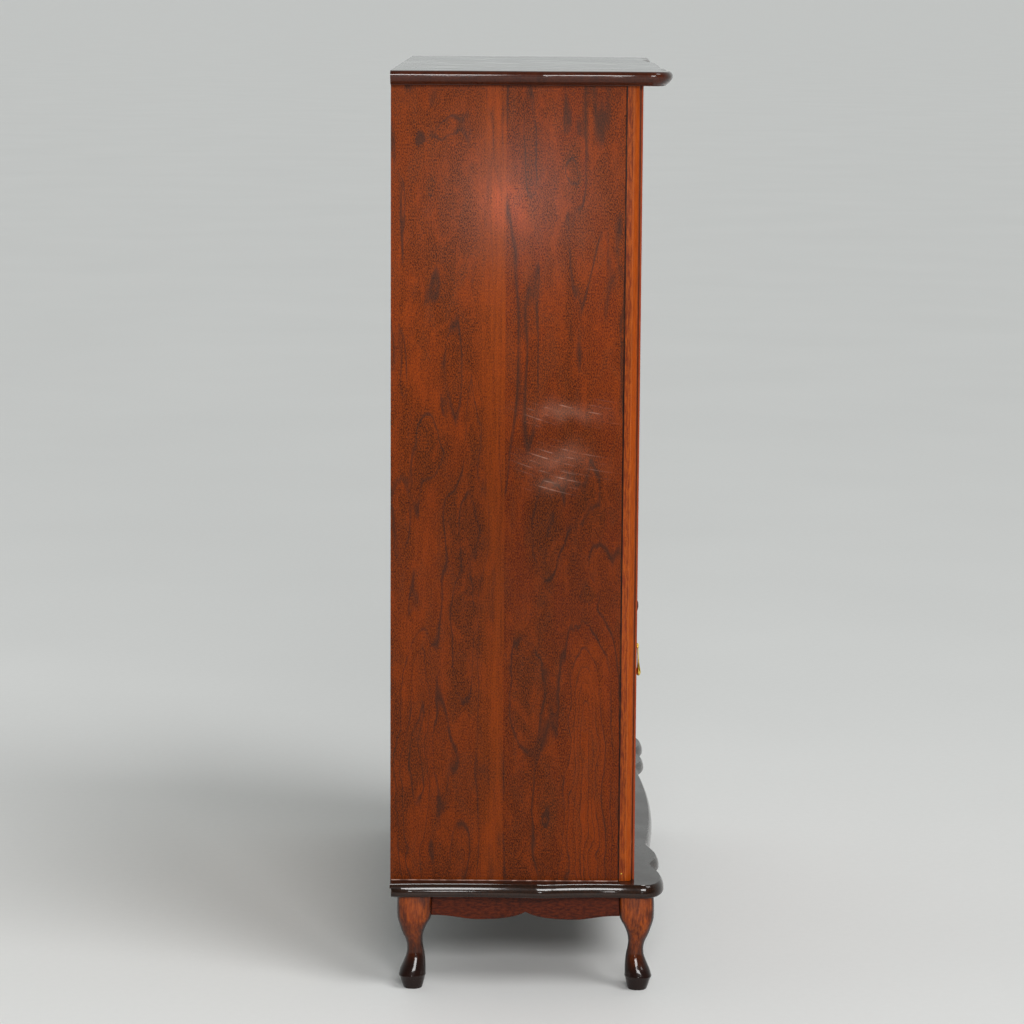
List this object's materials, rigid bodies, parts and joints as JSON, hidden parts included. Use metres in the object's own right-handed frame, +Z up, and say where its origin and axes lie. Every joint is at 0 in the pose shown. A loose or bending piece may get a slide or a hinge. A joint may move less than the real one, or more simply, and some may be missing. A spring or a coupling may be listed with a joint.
{
  "type": "china cabinet with glass doors",
  "caption": "Mahogany display cabinet on cabriole legs with glazed upper doors, panelled lower doors and serpentine moulded boards.",
  "frame": {"origin": "on the floor, under the middle of the bounding box", "axes": "+X is the viewer's right when facing the doors, -Y is the front with the doors, +Z is up"},
  "size_m": [0.91, 0.36, 1.2],
  "materials": {
    "veneer": "figured red-brown veneer under glossy lacquer",
    "frame": "orange-brown solid wood, glossy lacquer",
    "door_frame": "orange-brown solid wood, glossy lacquer",
    "glazing_bar": "moulded solid wood, glossy lacquer",
    "moulding": "near-black brown stained wood, high gloss",
    "leg": "red-brown carved wood, glossy lacquer, darker feet",
    "interior": "thinly lacquered wood",
    "back_panel": "plain unfinished plywood",
    "glass": "clear drawn sheet glass",
    "brass": "aged polished brass"
  },
  "bodies": {
    "case": {"left_side_panel": "veneer", "right_side_panel": "veneer", "left_front_stile": "frame", "right_front_stile": "frame", "top_rail": "frame", "waist_rail": "frame", "bottom_rail": "frame", "top_board": "moulding", "base_board": "moulding", "waist_moulding": "moulding", "front_left_leg": "leg", "front_right_leg": "leg", "back_left_leg": "leg", "back_right_leg": "leg", "front_apron": "leg", "back_apron": "leg", "left_apron": "leg", "right_apron": "leg", "case_floor": "interior", "divider_board": "interior", "lower_shelf": "interior", "upper_shelf": "interior", "back_panel": "back_panel", "left_top_pivot": "brass", "left_waist_pivot": "brass", "left_bottom_pivot": "brass", "right_top_pivot": "brass", "right_waist_pivot": "brass", "right_bottom_pivot": "brass"},
    "upper_left_door": {"upper_left_door_hinge_stile": "door_frame", "upper_left_door_meeting_stile": "door_frame", "upper_left_door_bottom_rail": "door_frame", "upper_left_door_top_rail": "door_frame", "upper_left_door_glass": "glass", "upper_left_door_glazing_bars": "glazing_bar"},
    "upper_right_door": {"upper_right_door_hinge_stile": "door_frame", "upper_right_door_meeting_stile": "door_frame", "upper_right_door_bottom_rail": "door_frame", "upper_right_door_top_rail": "door_frame", "upper_right_door_glass": "glass", "upper_right_door_glazing_bars": "glazing_bar", "lock_case": "brass"},
    "lower_left_door": {"lower_left_door_hinge_stile": "door_frame", "lower_left_door_meeting_stile": "door_frame", "lower_left_door_bottom_rail": "door_frame", "lower_left_door_top_rail": "door_frame", "lower_left_door_panel": "veneer"},
    "lower_right_door": {"lower_right_door_hinge_stile": "door_frame", "lower_right_door_meeting_stile": "door_frame", "lower_right_door_bottom_rail": "door_frame", "lower_right_door_top_rail": "door_frame", "lower_right_door_panel": "veneer", "handle_plate": "brass"},
    "handle_drop": {"handle_drop": "brass"},
    "lock_bolt": {"lock_bolt": "brass"}
  },
  "joints": [
    {"name": "upper_left_door_hinge", "type": "hinge", "parent": "case", "child": "upper_left_door", "pos_m": [-0.3795, -0.1335, 0.806], "axis": [0, 0, -1], "range_deg": [0, 105]},
    {"name": "upper_right_door_hinge", "type": "hinge", "parent": "case", "child": "upper_right_door", "pos_m": [0.3795, -0.1335, 0.806], "axis": [0, 0, 1], "range_deg": [0, 105]},
    {"name": "lower_left_door_hinge", "type": "hinge", "parent": "case", "child": "lower_left_door", "pos_m": [-0.3795, -0.1335, 0.294], "axis": [0, 0, -1], "range_deg": [0, 105]},
    {"name": "lower_right_door_hinge", "type": "hinge", "parent": "case", "child": "lower_right_door", "pos_m": [0.3795, -0.1335, 0.294], "axis": [0, 0, 1], "range_deg": [0, 105]},
    {"name": "handle_drop_swing", "type": "hinge", "parent": "lower_right_door", "child": "handle_drop", "pos_m": [0.0205, -0.157, 0.3745], "axis": [-1, 0, 0], "range_deg": [-19, 80]},
    {"name": "lock_bolt_slide", "type": "slide", "parent": "upper_right_door", "child": "lock_bolt", "axis": [-1, 0, 0], "range_m": [0, 0.009]}
  ]
}
